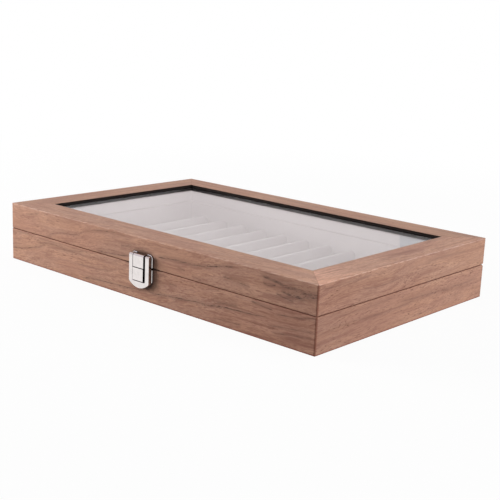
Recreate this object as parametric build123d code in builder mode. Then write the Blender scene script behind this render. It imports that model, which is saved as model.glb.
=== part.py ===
from build123d import *
from math import sqrt
import os

# Pen storage box: a lined walnut base with twelve pen slots, and a hinged lid that is a mitred
# frame round a glass pane. All sizes are in millimetres. The origin is the middle of the
# underside, +X runs to the right along the front, the latch faces -Y, and +Z is up.

# Outside of the closed box.
box_width = 340.0
box_depth = 220.0
base_height = 27.8
lid_height = 22.2
box_height = base_height + lid_height

# Boards and rails.
wall = 9.0
rail_width = 25.0
rail_thickness = 3.0
bottom_thickness = 4.0
bottom_lap = 5.0
panel_play = 0.1
mitre_margin = 1.0

# Easing of the outer edges.
corner_radius = 1.5
top_edge_radius = 1.1
seam_edge_radius = 1.3
foot_easing = 1.3
window_edge_radius = 0.3

# Linings, floor pad and dividers.
end_lining = 3.0
side_lining = 5.0
lining_gap = 0.2
floor_pad = 2.0
slot_count = 12
slot_pitch = 26.0
divider_thickness = 3.0
divider_top = 17.8
divider_end_gap = 4.0
divider_corner = 2.0
divider_easing = 1.35

# Glass and glazing strips.
glass_thickness = 2.5
glass_play = 0.3
strip_thickness = 1.0
strip_drop = 0.1
bead_width = 1.3
bead_height = 1.2
bead_radius = 0.6

# Hinges. The axis lies at the bottom of a V groove along the back of the seam. The two bevels of
# the groove meet when the lid is open, and stop it a little past upright.
bevel_depth = 2.2
bevel_height = 2.44
hinge_spread = 210.0
hinge_length = 30.0
hinge_knuckles = 3
knuckle_gap = 0.2
knuckle_radius = 1.8
knuckle_room = 0.3
hinge_pin_radius = 0.9
hinge_running = 0.05
leaf_thickness = 1.0
leaf_gap = 0.05
leaf_front = 102.0
leaf_back = 105.8
leaf_play = 0.15
web_lap = 0.2
screw_spacing = 18.0
screw_radius = 0.8
screw_head_radius = 1.65
screw_head_drop = 0.05
screw_hole_play = 0.05
screw_length = 7.0
screw_end_gap = 0.1

# Latch, measured outwards from the front of the box.
plate_width = 23.0
plate_thickness = 0.9
lid_plate_bottom = 28.3
lid_plate_top = 38.3
ear_radius = 2.7
ear_dip = 1.5
base_plate_bottom = 16.5
base_plate_top = 26.9
plate_corner = 1.0
plate_easing = 0.3
tongue_width = 11.5
lid_tongue_front = 4.8
base_tongue_front = 5.1
tongue_sheet = 0.9
tongue_bend = 1.7
tongue_inner_bend = 0.2
tongue_hem = 0.7
lid_tongue_bottom = 27.5
lid_tongue_top = 38.0
lid_tongue_rise = 0.7
base_tongue_bottom = 16.9
base_tongue_top = 26.9
lever_width = 22.2
lever_back = 1.1
lever_front = 4.3
lever_sheet = 0.8
lever_tip = 11.0
lever_shoulder = 15.7
lever_easing = 0.45
window_width = 14.1
window_bottom = 16.4
latch_pivot_out = 2.7
latch_pivot_height = 35.9
latch_pin_radius = 0.6
latch_pin_length = 21.8
latch_running = 0.05
bore_overrun = 1.0
shoulder_radius = 1.5

# Values worked out from the sizes above.
half_width = box_width / 2
half_depth = box_depth / 2
inner_width = box_width - 2 * wall
inner_depth = box_depth - 2 * wall
foot_middle = foot_easing * (1 - sqrt(0.5))
mitre_depth = rail_width + strip_thickness + bead_width + mitre_margin
glass_top = box_height - rail_thickness
glass_bottom = glass_top - glass_thickness
floor_top = bottom_thickness + floor_pad
lining_face = half_depth - wall - end_lining
hinge_axis_y = half_depth - bevel_depth
hinge_axis_z = base_height
front_face = -half_depth

os.makedirs("parts", exist_ok=True)

# Each side of the box has a start corner, the direction along it and the direction inwards.
sides = {
    "front": ((-half_width, -half_depth), (1, 0, 0), (0, 1, 0), box_width),
    "right": ((half_width, -half_depth), (0, 1, 0), (-1, 0, 0), box_depth),
    "back": ((half_width, half_depth), (-1, 0, 0), (0, -1, 0), box_width),
    "left": ((-half_width, half_depth), (0, -1, 0), (1, 0, 0), box_depth),
}


def finish_piece(piece, label):
    """Name a finished piece and write it to its own file."""
    piece.part.label = label
    export_step(piece.part, f"parts/{label}.step")


def wall_section():
    """Section of a base wall: x is the distance inwards from the outside, y is the height."""
    with BuildSketch() as section:
        with BuildLine():
            Polyline(
                (foot_easing, 0),
                (wall - bottom_lap, 0),
                (wall - bottom_lap, bottom_thickness),
                (wall, bottom_thickness),
                (wall, base_height),
                (0, base_height),
                (0, foot_easing),
                (foot_middle, foot_middle),
                close=True,
            )
        make_face()
        fillet(section.vertices().group_by(Axis.X)[0].sort_by(Axis.Y)[-1], seam_edge_radius)
    return section.sketch


def rail_section():
    """L-shaped section of a lid rail: a side board that carries the flange over the glass."""
    with BuildSketch() as section:
        with BuildLine():
            Polyline(
                (0, base_height),
                (wall, base_height),
                (wall, glass_top),
                (rail_width, glass_top),
                (rail_width, box_height),
                (0, box_height),
                close=True,
            )
        make_face()
        fillet(section.vertices().group_by(Axis.Y)[-1].sort_by(Axis.X)[0], top_edge_radius)
        fillet(section.vertices().group_by(Axis.Y)[-1].sort_by(Axis.X)[-1], window_edge_radius)
        fillet(section.vertices().group_by(Axis.Y)[0].sort_by(Axis.X)[0], seam_edge_radius)
    return section.sketch


def strip_section():
    """Section of a glazing strip: a thin liner with a rounded bead that lies on the glass."""
    liner = rail_width + strip_thickness
    with BuildSketch() as section:
        with BuildLine():
            Polyline(
                (rail_width, glass_top),
                (liner + bead_width, glass_top),
                (liner + bead_width, glass_top + bead_height),
                (liner, glass_top + bead_height),
                (liner, box_height - strip_drop),
                (rail_width, box_height - strip_drop),
                close=True,
            )
        make_face()
        bead_corner = section.vertices().group_by(Axis.X)[-1].sort_by(Axis.Y)[-1]
        fillet(bead_corner, bead_radius)
    return section.sketch


def mitred_piece(section, side):
    """Run a section along one side of the box, mitre both ends and cut the groove at the back."""
    corner, along, inward, length = sides[side]
    with BuildPart() as piece:
        with BuildSketch(Plane(origin=(*corner, 0), x_dir=inward, z_dir=along)):
            add(section)
        extrude(amount=length)
        with BuildSketch(Plane(origin=(*corner, 0), x_dir=along, z_dir=(0, 0, 1))):
            with BuildLine():
                Polyline(
                    (0, 0), (length, 0), (length - mitre_depth, mitre_depth),
                    (mitre_depth, mitre_depth), close=True,
                )
            make_face()
        extrude(amount=box_height, mode=Mode.INTERSECT)
        with BuildSketch():
            RectangleRounded(box_width, box_depth, corner_radius)
        extrude(amount=box_height, mode=Mode.INTERSECT)
        with BuildSketch(Plane.YZ):
            with BuildLine():
                Polyline(
                    (hinge_axis_y, hinge_axis_z),
                    (half_depth + bevel_depth, hinge_axis_z - 2 * bevel_height),
                    (half_depth + bevel_depth, hinge_axis_z + 2 * bevel_height),
                    close=True,
                )
            make_face()
        extrude(amount=box_width, both=True, mode=Mode.SUBTRACT)
    return piece


def hinge_places():
    """Middles of the two hinges along the back of the box."""
    return [-hinge_spread / 2, hinge_spread / 2]


def cut_hinge_seats(board, up):
    """Let both hinges into a back board: up is -1 in the base and +1 in the lid."""
    seat_length = hinge_length + 2 * leaf_play
    seat_depth = leaf_thickness + leaf_gap
    with BuildPart() as seated:
        add(board.part)
        with Locations(*[
            (x, (leaf_front - leaf_play + half_depth) / 2, hinge_axis_z + up * seat_depth / 2)
            for x in hinge_places()
        ]):
            Box(seat_length, half_depth - leaf_front + leaf_play, seat_depth, mode=Mode.SUBTRACT)
        with Locations(*[(x, hinge_axis_y, hinge_axis_z) for x in hinge_places()]):
            Cylinder(
                knuckle_radius + knuckle_room, seat_length,
                rotation=(0, 90, 0), mode=Mode.SUBTRACT,
            )
        with Locations(*[
            (x + offset, (leaf_front + leaf_back) / 2, hinge_axis_z + up * screw_length / 2)
            for x in hinge_places()
            for offset in (-screw_spacing / 2, screw_spacing / 2)
        ]):
            Cylinder(screw_radius, screw_length, mode=Mode.SUBTRACT)
    return seated


# Base walls. The back wall seats the hinges.
for side in ("front", "left", "right"):
    finish_piece(mitred_piece(wall_section(), side), f"base_{side}_wall")
base_back_wall = cut_hinge_seats(mitred_piece(wall_section(), "back"), -1)
finish_piece(base_back_wall, "base_back_wall")

# Lid rails, seated the same way at the back.
for side in ("front", "left", "right"):
    finish_piece(mitred_piece(rail_section(), side), f"lid_{side}_rail")
lid_back_rail = cut_hinge_seats(mitred_piece(rail_section(), "back"), 1)
finish_piece(lid_back_rail, "lid_back_rail")

# Black glazing strips on the glass, mitred like the rails.
for side in sides:
    finish_piece(mitred_piece(strip_section(), side), f"window_{side}_strip")

# Glass pane, under the flanges of the rails.
with BuildPart() as glass_pane:
    with BuildSketch(Plane.XY.offset(glass_bottom)):
        Rectangle(inner_width - 2 * glass_play, inner_depth - 2 * glass_play)
    extrude(amount=glass_thickness)
finish_piece(glass_pane, "glass_pane")

# Bottom panel, let into the rebate of the walls and flush with their feet.
with BuildPart() as bottom_panel:
    with BuildSketch():
        Rectangle(
            inner_width + 2 * (bottom_lap - panel_play),
            inner_depth + 2 * (bottom_lap - panel_play),
        )
    extrude(amount=bottom_thickness)
finish_piece(bottom_panel, "bottom_panel")

# Padded floor of the slots.
with BuildPart() as slot_floor:
    with BuildSketch(Plane.XY.offset(bottom_thickness)):
        Rectangle(inner_width - 2 * panel_play, inner_depth - 2 * panel_play)
    extrude(amount=floor_pad)
finish_piece(slot_floor, "slot_floor")


def lining_board(side, bottom, top):
    """A lining board: the front and back boards run the full width, the others fit between."""
    long_board = side in ("front", "back")
    size_x = inner_width if long_board else side_lining
    size_y = end_lining if long_board else inner_depth - 2 * end_lining
    place_x = 0 if long_board else (inner_width - side_lining) / 2
    place_y = (inner_depth - end_lining) / 2 if long_board else 0
    sign = 1 if side in ("back", "right") else -1
    with BuildPart() as board:
        with BuildSketch(Plane.XY.offset(bottom)):
            with Locations((sign * place_x, sign * place_y)):
                Rectangle(size_x, size_y)
        extrude(amount=top - bottom)
    return board


# Linings of the base stand on the floor pad. Those of the lid hold the glass up.
for side in sides:
    base_lining = lining_board(side, floor_top, base_height - lining_gap)
    finish_piece(base_lining, f"base_{side}_lining")
    lid_lining = lining_board(side, base_height + lining_gap, glass_bottom)
    finish_piece(lid_lining, f"lid_{side}_lining")

# Slot dividers: thin covered boards with rounded tops and sloped end corners.
divider_length = 2 * (lining_face - divider_end_gap)
divider_height = divider_top - floor_top
for number in range(1, slot_count):
    divider_x = (number - slot_count / 2) * slot_pitch
    with BuildPart() as divider:
        with BuildSketch(Plane.XZ.offset(-divider_length / 2)) as divider_section:
            with Locations((divider_x, floor_top + divider_height / 2)):
                Rectangle(divider_thickness, divider_height)
            fillet(divider_section.vertices().group_by(Axis.Y)[-1], divider_easing)
        extrude(amount=divider_length)
        with BuildSketch(Plane.YZ.offset(divider_x)) as divider_outline:
            with Locations((0, floor_top + divider_height / 2)):
                Rectangle(divider_length, divider_height)
            chamfer(divider_outline.vertices().group_by(Axis.Y)[-1], divider_corner)
        extrude(amount=divider_thickness, both=True, mode=Mode.INTERSECT)
    finish_piece(divider, f"slot_divider_{number:02d}")


def hinge_leaf(centre_x, up, knuckles, bore_radius):
    """One hinge leaf, let into a rim, with its share of the knuckles round the pin."""
    leaf_middle = hinge_axis_z + up * (leaf_gap + leaf_thickness / 2)
    knuckle_step = hinge_length / hinge_knuckles
    knuckle_places = [
        centre_x + (number - (hinge_knuckles - 1) / 2) * knuckle_step for number in knuckles
    ]
    web_front = leaf_back - web_lap
    sink_face = Plane(
        origin=(centre_x, (leaf_front + leaf_back) / 2, hinge_axis_z + up * leaf_gap),
        x_dir=(1, 0, 0), z_dir=(0, 0, -up),
    )
    with BuildPart() as leaf:
        with Locations((centre_x, (leaf_front + leaf_back) / 2, leaf_middle)):
            Box(hinge_length, leaf_back - leaf_front, leaf_thickness)
        with Locations(*[(x, hinge_axis_y, hinge_axis_z) for x in knuckle_places]):
            Cylinder(knuckle_radius, knuckle_step - knuckle_gap, rotation=(0, 90, 0))
        with Locations(*[(x, (web_front + hinge_axis_y) / 2, leaf_middle) for x in knuckle_places]):
            Box(knuckle_step - knuckle_gap, hinge_axis_y - web_front, leaf_thickness)
        with Locations((centre_x, hinge_axis_y, hinge_axis_z)):
            Cylinder(bore_radius, 2 * hinge_length, rotation=(0, 90, 0), mode=Mode.SUBTRACT)
        with Locations(sink_face):
            with GridLocations(screw_spacing, 0, 2, 1):
                CounterSinkHole(
                    radius=screw_radius + screw_hole_play,
                    counter_sink_radius=screw_head_radius,
                    depth=2 * leaf_thickness,
                    counter_sink_angle=90,
                )
    return leaf


def hinge_screws(up):
    """The four countersunk screws of one rim, two for each hinge, as separate solids."""
    head_radius = screw_head_radius - screw_head_drop
    head_level = leaf_gap + screw_head_drop
    head_depth = head_radius - screw_radius
    with BuildPart() as screws:
        for centre_x in hinge_places():
            for offset in (-screw_spacing / 2, screw_spacing / 2):
                screw_plane = Plane(
                    origin=(centre_x + offset, (leaf_front + leaf_back) / 2, hinge_axis_z),
                    x_dir=(1, 0, 0), z_dir=(0, -up, 0),
                )
                with BuildSketch(screw_plane):
                    with BuildLine():
                        Polyline(
                            (0, head_level),
                            (head_radius, head_level),
                            (screw_radius, head_level + head_depth),
                            (screw_radius, screw_length - screw_end_gap),
                            (0, screw_length - screw_end_gap),
                            close=True,
                        )
                    make_face()
                revolve(axis=Axis((centre_x + offset, (leaf_front + leaf_back) / 2, 0), (0, 0, 1)))
    return screws


# Hinges. The pin is held in the base leaf and turns freely in the lid leaf.
for name, centre_x in zip(("left", "right"), hinge_places()):
    base_leaf = hinge_leaf(centre_x, -1, (0, 2), hinge_pin_radius)
    finish_piece(base_leaf, f"hinge_{name}_base_leaf")
    lid_leaf = hinge_leaf(centre_x, 1, (1,), hinge_pin_radius + hinge_running)
    finish_piece(lid_leaf, f"hinge_{name}_lid_leaf")
    with BuildPart() as hinge_pin:
        with Locations((centre_x, hinge_axis_y, hinge_axis_z)):
            Cylinder(hinge_pin_radius, hinge_length, rotation=(0, 90, 0))
    finish_piece(hinge_pin, f"hinge_{name}_pin")
finish_piece(hinge_screws(-1), "hinge_base_screws")
finish_piece(hinge_screws(1), "hinge_lid_screws")

# Latch planes: faces look out of the front of the box, x to the right and y up.
front_plane = Plane(origin=(0, front_face, 0), x_dir=(1, 0, 0), z_dir=(0, -1, 0))
side_plane = Plane(origin=(0, front_face, 0), x_dir=(0, -1, 0), z_dir=(-1, 0, 0))
tongue_half = tongue_width / 2


def pressed_tongue(bottom, top, front, rise):
    """Side view of a hollow tongue: a front sheet bent back to the plate at one end.

    With a rise the bend is at the top, which climbs by the rise from the plate to the front.
    Without one the sheet is hemmed at the bottom.
    """
    bend_at_top = rise > 0
    bent_end = top if bend_at_top else bottom
    inner_end = top - tongue_sheet if bend_at_top else bottom + tongue_sheet
    open_end = bottom if bend_at_top else top
    bend = tongue_bend if bend_at_top else tongue_hem
    sheet_inside = front - tongue_sheet
    with BuildSketch() as outline:
        with BuildLine():
            Polyline(
                (plate_thickness, bent_end - rise),
                (front, bent_end),
                (front, open_end),
                (sheet_inside, open_end),
                (sheet_inside, inner_end),
                (plate_thickness, inner_end - rise),
                close=True,
            )
        make_face()
        outer_corners = outline.vertices().group_by(Axis.X)[-1].sort_by(Axis.Y)
        fillet(outer_corners[-1] if bend_at_top else outer_corners[0], bend)
        inner_corners = outline.vertices().filter_by_position(
            Axis.X, sheet_inside - 0.01, sheet_inside + 0.01
        ).sort_by(Axis.Y)
        inner_bend = max(bend - tongue_sheet, tongue_inner_bend)
        fillet(inner_corners[-1] if bend_at_top else inner_corners[0], inner_bend)
    return outline.sketch


def tongue_cheek(bottom, top, front, rise):
    """Side view of a tongue's cheek, which closes it at the left and right."""
    bend_at_top = rise > 0
    bend = tongue_bend if bend_at_top else tongue_hem
    with BuildSketch() as outline:
        with BuildLine():
            Polyline(
                (plate_thickness, bottom),
                (front, bottom),
                (front, top),
                (plate_thickness, top - rise),
                close=True,
            )
        make_face()
        front_corners = outline.vertices().group_by(Axis.X)[-1].sort_by(Axis.Y)
        fillet(front_corners[-1] if bend_at_top else front_corners[0], bend)
    return outline.sketch


# Lid plate of the latch: two rounded ears above, and a tongue whose cheeks hold the pivot pin.
with BuildPart() as latch_lid_plate:
    with BuildSketch(front_plane) as lid_plate_face:
        with Locations((0, (lid_plate_bottom + lid_plate_top) / 2)):
            Rectangle(plate_width, lid_plate_top - lid_plate_bottom)
        fillet(lid_plate_face.vertices().group_by(Axis.Y)[-1], ear_radius)
        with Locations((0, lid_plate_top)):
            Rectangle(tongue_width, 2 * ear_dip, mode=Mode.SUBTRACT)
        fillet(lid_plate_face.vertices().group_by(Axis.Y)[-1].sort_by(Axis.X)[1:3], ear_dip / 2)
    extrude(amount=plate_thickness)
    chamfer(latch_lid_plate.faces().sort_by(Axis.Y)[0].edges(), plate_easing)
    with BuildSketch(side_plane):
        add(pressed_tongue(lid_tongue_bottom, lid_tongue_top, lid_tongue_front, lid_tongue_rise))
    extrude(amount=tongue_half, both=True)
    for cheek_x in (-tongue_half, tongue_half - lever_sheet):
        with BuildSketch(side_plane.offset(-cheek_x - lever_sheet)):
            add(tongue_cheek(lid_tongue_bottom, lid_tongue_top, lid_tongue_front, lid_tongue_rise))
        extrude(amount=lever_sheet)
    with Locations((0, front_face - latch_pivot_out, latch_pivot_height)):
        Cylinder(latch_pin_radius, plate_width, rotation=(0, 90, 0), mode=Mode.SUBTRACT)
finish_piece(latch_lid_plate, "latch_lid_plate")

# Base plate of the latch: the lever's foot hooks under its tongue.
with BuildPart() as latch_base_plate:
    with BuildSketch(front_plane) as base_plate_face:
        with Locations((0, (base_plate_bottom + base_plate_top) / 2)):
            Rectangle(plate_width, base_plate_top - base_plate_bottom)
        fillet(base_plate_face.vertices().group_by(Axis.Y)[0], plate_corner)
    extrude(amount=plate_thickness)
    chamfer(latch_base_plate.faces().sort_by(Axis.Y)[0].edges(), plate_easing)
    with BuildSketch(side_plane):
        add(pressed_tongue(base_tongue_bottom, base_tongue_top, base_tongue_front, 0))
    extrude(amount=tongue_half, both=True)
    for cheek_x in (-tongue_half, tongue_half - lever_sheet):
        with BuildSketch(side_plane.offset(-cheek_x - lever_sheet)):
            add(tongue_cheek(base_tongue_bottom, base_tongue_top, base_tongue_front, 0))
        extrude(amount=lever_sheet)
finish_piece(latch_base_plate, "latch_base_plate")


def lever_face(inset):
    """Front view of the U-shaped lever, drawn in by the inset on every edge."""
    half = lever_width / 2 - inset
    window = window_width / 2 + inset
    shoulder = lever_shoulder + inset / 2
    with BuildSketch() as outline:
        with BuildLine():
            Polyline(
                (-half, shoulder),
                (-half, box_height),
                (-window, box_height),
                (-window, window_bottom - inset),
                (window, window_bottom - inset),
                (window, box_height),
                (half, box_height),
                (half, shoulder),
            )
            ThreePointArc((half, shoulder), (0, lever_tip + inset), (-half, shoulder))
        make_face()
        shoulders = outline.vertices().filter_by_position(Axis.Y, shoulder - 0.01, shoulder + 0.01)
        fillet(shoulders, shoulder_radius)
    return outline.sketch


def lever_side():
    """Side view of the lever: a flat slab that ends in a half round about the pivot."""
    with BuildSketch() as outline:
        with Locations((latch_pivot_out, latch_pivot_height / 2)):
            Rectangle(lever_front - lever_back, latch_pivot_height)
        with Locations((latch_pivot_out, latch_pivot_height)):
            Circle((lever_front - lever_back) / 2)
    return outline.sketch


def hollow_side():
    """Side view of the lever's hollow, open behind and rounded like the skin in front of it."""
    top = latch_pivot_height + (lever_front - lever_back) / 2 - lever_sheet
    depth = lever_front - lever_sheet
    with BuildSketch() as outline:
        with Locations((depth / 2, top / 2)):
            Rectangle(depth, top)
        fillet(outline.vertices().sort_by(Axis.X)[-2:].sort_by(Axis.Y)[-1], lever_sheet)
    return outline.sketch


# Lever of the latch: a pressed U with flanges all round, hollow at the back.
with BuildPart() as lever_hollow:
    with BuildSketch(front_plane):
        add(lever_face(lever_sheet))
    extrude(amount=lever_front)
    with BuildSketch(side_plane):
        add(hollow_side())
    extrude(amount=lever_width, both=True, mode=Mode.INTERSECT)
with BuildPart() as latch_lever:
    with BuildSketch(front_plane):
        add(lever_face(0))
    extrude(amount=lever_front)
    with BuildSketch(side_plane):
        add(lever_side())
    extrude(amount=lever_width, both=True, mode=Mode.INTERSECT)
    front_edges = latch_lever.faces().filter_by(Plane.XZ).sort_by(Axis.Y)[0].edges()
    leg_ends = front_edges.filter_by(Axis.X).group_by(Axis.Z)[-1]
    top_arcs = latch_lever.edges().filter_by(GeomType.CIRCLE).filter_by(Plane.YZ)
    chamfer(front_edges - leg_ends + top_arcs, lever_easing)
    add(lever_hollow.part, mode=Mode.SUBTRACT)
    with Locations((0, front_face - latch_pivot_out, latch_pivot_height)):
        Cylinder(
            latch_pin_radius + latch_running, plate_width + 2 * bore_overrun,
            rotation=(0, 90, 0), mode=Mode.SUBTRACT,
        )
finish_piece(latch_lever, "latch_lever")

# Pivot pin of the lever, held in the cheeks of the lid plate's tongue.
with BuildPart() as latch_pin:
    with Locations((0, front_face - latch_pivot_out, latch_pivot_height)):
        Cylinder(latch_pin_radius, latch_pin_length, rotation=(0, 90, 0))
finish_piece(latch_pin, "latch_pin")
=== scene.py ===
import math
from itertools import product

import bmesh
import bpy
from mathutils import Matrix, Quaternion, Vector, noise


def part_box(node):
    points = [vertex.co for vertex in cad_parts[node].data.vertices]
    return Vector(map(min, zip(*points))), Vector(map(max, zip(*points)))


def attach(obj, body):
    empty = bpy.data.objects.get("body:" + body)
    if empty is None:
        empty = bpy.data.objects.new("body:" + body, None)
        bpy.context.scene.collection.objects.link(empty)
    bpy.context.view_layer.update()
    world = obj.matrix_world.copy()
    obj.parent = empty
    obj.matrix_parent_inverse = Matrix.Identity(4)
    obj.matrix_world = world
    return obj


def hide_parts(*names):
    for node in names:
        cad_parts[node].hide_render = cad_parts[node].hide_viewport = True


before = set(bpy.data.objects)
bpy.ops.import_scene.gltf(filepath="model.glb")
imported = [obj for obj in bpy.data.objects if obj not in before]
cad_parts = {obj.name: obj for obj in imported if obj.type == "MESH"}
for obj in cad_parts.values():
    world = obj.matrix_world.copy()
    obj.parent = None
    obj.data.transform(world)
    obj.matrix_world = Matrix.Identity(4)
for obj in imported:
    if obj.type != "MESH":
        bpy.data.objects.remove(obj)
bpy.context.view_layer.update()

# Materials and pieces are in millimetres. The studio's floor, lamps and camera are in metres.
MM = 0.001
HALF_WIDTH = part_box("base_right_wall")[1].x / MM
HALF_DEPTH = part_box("base_back_wall")[1].y / MM
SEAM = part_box("base_front_wall")[1].z / MM
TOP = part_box("lid_back_rail")[1].z / MM


def linear(red, green, blue):
    """A colour written as 0 to 255 screen values, as linear light."""
    def channel(value):
        value /= 255
        return value / 12.92 if value <= 0.04045 else ((value + 0.055) / 1.055) ** 2.4
    return (channel(red), channel(green), channel(blue), 1.0)


class Graph:
    """A material, and short calls that add its nodes."""

    def __init__(self, name):
        self.material = bpy.data.materials.new(name)
        self.material.use_nodes = True
        self.tree = self.material.node_tree
        self.tree.nodes.clear()
        self.output = self.node("ShaderNodeOutputMaterial")

    def node(self, kind, **settings):
        new = self.tree.nodes.new(kind)
        for key, value in settings.items():
            setattr(new, key, value)
        return new

    def feed(self, socket, value):
        """Link a socket, or set its constant."""
        if isinstance(value, bpy.types.NodeSocket):
            self.tree.links.new(value, socket)
        else:
            socket.default_value = value

    def math(self, operation, first, second=0.0):
        new = self.node("ShaderNodeMath", operation=operation)
        self.feed(new.inputs[0], first)
        self.feed(new.inputs[1], second)
        return new.outputs[0]

    def add(self, first, *others):
        for other in others:
            first = self.math("ADD", first, other)
        return first

    def times(self, first, *others):
        for other in others:
            first = self.math("MULTIPLY", first, other)
        return first

    def fade(self, value, one, zero):
        """A soft step: 1 at the first level and beyond, 0 at the second and beyond."""
        new = self.node("ShaderNodeMapRange", interpolation_type="SMOOTHSTEP")
        self.feed(new.inputs["Value"], value)
        new.inputs["From Min"].default_value = min(one, zero)
        new.inputs["From Max"].default_value = max(one, zero)
        new.inputs["To Min"].default_value = 1.0 if one < zero else 0.0
        new.inputs["To Max"].default_value = 0.0 if one < zero else 1.0
        return new.outputs["Result"]

    def place(self):
        """Object coordinates in millimetres, as x, y and z."""
        coordinates = self.node("ShaderNodeTexCoord")
        scaled = self.node("ShaderNodeVectorMath", operation="SCALE")
        self.feed(scaled.inputs[0], coordinates.outputs["Object"])
        scaled.inputs["Scale"].default_value = 1 / MM
        apart = self.node("ShaderNodeSeparateXYZ")
        self.feed(apart.inputs[0], scaled.outputs[0])
        return apart.outputs[0], apart.outputs[1], apart.outputs[2]

    def vector(self, x, y, z):
        new = self.node("ShaderNodeCombineXYZ")
        for socket, value in zip(new.inputs, (x, y, z)):
            self.feed(socket, value)
        return new.outputs[0]

    def noise(self, vector, sizes, detail=2.0, roughness=0.5):
        """Noise whose features are about the given sizes in millimetres."""
        shrunk = self.node("ShaderNodeVectorMath", operation="DIVIDE")
        self.feed(shrunk.inputs[0], vector)
        shrunk.inputs[1].default_value = sizes
        new = self.node("ShaderNodeTexNoise", noise_dimensions="3D")
        self.feed(new.inputs["Vector"], shrunk.outputs[0])
        new.inputs["Scale"].default_value = 1.0
        new.inputs["Detail"].default_value = detail
        new.inputs["Roughness"].default_value = roughness
        return new.outputs["Fac"]

    def mix(self, factor, first, second):
        """The first colour at factor 0 and the second at 1."""
        new = self.node("ShaderNodeMix", data_type="RGBA")
        self.feed(new.inputs[0], factor)
        self.feed(new.inputs[6], first)
        self.feed(new.inputs[7], second)
        return new.outputs[2]

    def brighten(self, colour, factor):
        """The colour times a factor."""
        new = self.node("ShaderNodeVectorMath", operation="SCALE")
        self.feed(new.inputs[0], colour)
        self.feed(new.inputs["Scale"], factor)
        return new.outputs[0]

    def curve(self, value, points):
        """A smooth curve through points that run from 0 to 1 both ways."""
        new = self.node("ShaderNodeFloatCurve")
        line = new.mapping.curves[0]
        line.points[0].location = points[0]
        line.points[1].location = points[-1]
        for point in points[1:-1]:
            line.points.new(*point)
        new.mapping.update()
        self.feed(new.inputs["Value"], value)
        return new.outputs[0]

    def crevice(self, reach):
        """1 deep in a crevice and 0 in the open, from the shapes within the reach."""
        new = self.node("ShaderNodeAmbientOcclusion", samples=12)
        new.inputs["Distance"].default_value = reach * MM
        return self.math("SUBTRACT", 1.0, new.outputs["AO"])

    def bump(self, height, strength, distance):
        new = self.node("ShaderNodeBump")
        self.feed(new.inputs["Height"], height)
        new.inputs["Strength"].default_value = strength
        new.inputs["Distance"].default_value = distance
        return new.outputs["Normal"]

    def surface(self, **inputs):
        """The principled shader, with named inputs, joined to the output."""
        shader = self.node("ShaderNodeBsdfPrincipled")
        for key, value in inputs.items():
            self.feed(shader.inputs[key.replace("_", " ")], value)
        self.feed(self.output.inputs["Surface"], shader.outputs[0])
        return shader


# Colours of the veneer, of its stained edges, of the painted shadow along the seam, of the pale
# edge of wear and painted highlight, and of the painted shade beside the latch.
WOOD_LIGHT = linear(211, 168, 141)
WOOD_MIDDLE = linear(187, 148, 128)
WOOD_DARK = linear(140, 99, 86)
WOOD_STREAK = linear(86, 66, 62)
WOOD_RED = linear(182, 126, 104)
PORE_BROWN = linear(98, 66, 54)
STAINED_EDGE = linear(142, 78, 60)
SEAM_SHADOW = linear(90, 52, 41)
WORN_EDGE_AND_HIGHLIGHT = linear(228, 208, 198)
LATCH_PAINTED_SHADE = linear(46, 34, 30)

# Grain of the veneer: sizes along and across the run, detail and roughness of each noise.
WAVE = ((95.0, 40.0, 40.0), 1.0)
REDS = ((90.0, 30.0, 30.0), 1.0)
GRAIN = {
    "bands": ((130.0, 6.5, 6.5), 3.0, 0.55),
    "veins": ((75.0, 2.2, 2.2), 2.0, 0.5),
    "flecks": ((5.5, 0.85, 0.85), 2.0, 0.6),
    "fibres": ((24.0, 0.5, 0.5), 2.0, 0.6),
    "pores": ((4.6, 0.62, 0.62), 1.0),
    "clouds": ((46.0, 9.0, 9.0), 2.0),
}
WAVE_HEIGHT = 14.0
SEED_SHIFT = (613.0, 97.0, 41.0)

# What darkens the wood: a noise, where it starts and ends, its share per strength of the
# figure, and its share anyway.
FIGURE = (
    ("bands", 0.34, 0.56, 0.50, 0.0),
    ("veins", 0.64, 0.50, 0.60, 0.0),
    ("clouds", 0.60, 0.42, 0.12, 0.08),
    ("flecks", 0.62, 0.46, 0.34, 0.08),
    ("fibres", 0.60, 0.40, 0.0, 0.24),
)
RED_SHARE = 0.22

# Strength of the figure at a board's light end, what its deep end adds, and where that lies.
LIGHT_END_FIGURE = 0.62
DEEP_END_FIGURE = 0.55
DEEP_FROM = -60.0
DEEP_TO = 190.0

# How far the paleness of a top reaches from its end, how bright it is, and its share beyond.
PALE_REACH = 65.0
PALE_GAIN = 0.68
PALE_BEYOND = 0.4

# Share of the pores on the top, and what the sides add to it by the direction of the run.
TOP_PORES = 0.26
SIDE_PORES = {"x": 0.24, "y": 0.48}

# Dark grain lines: how far they wander, how strongly the grain breaks them up, and the fades
# of their core, their halo and their ends.
VEIN_WOBBLE = 1.6
FLECK_WOBBLE = 0.9
LINE_GAIN = 1.85
LINE_CORE = (0.1, 0.9)
LINE_HALO = (0.5, 3.2)
HALO_SHARE = 0.38
LINE_ENDS = (0.40, 0.54)

# Stains, a painted shadow along the seam, and wear with a painted highlight at the edges: the
# distances in which each is full and gone, and its share.
CORNER_FADE, CORNER_SHARE = (0.6, 1.6), 0.65
FOOT_FADE = (0.9, 1.7)
MITRE_FADE, MITRE_SHARE = (0.08, 0.3), 0.45
SEAT_FADE, SEAT_SHARE = (0.05, 0.3), 0.35
SEAM_FADE, SEAM_DEPTH_FADE = (0.05, 0.55), (0.6, 1.6)
RIM_FADE, RIM_SHARE = (0.66, 0.95), 0.26
STAIN_SHARE = 0.85

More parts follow.
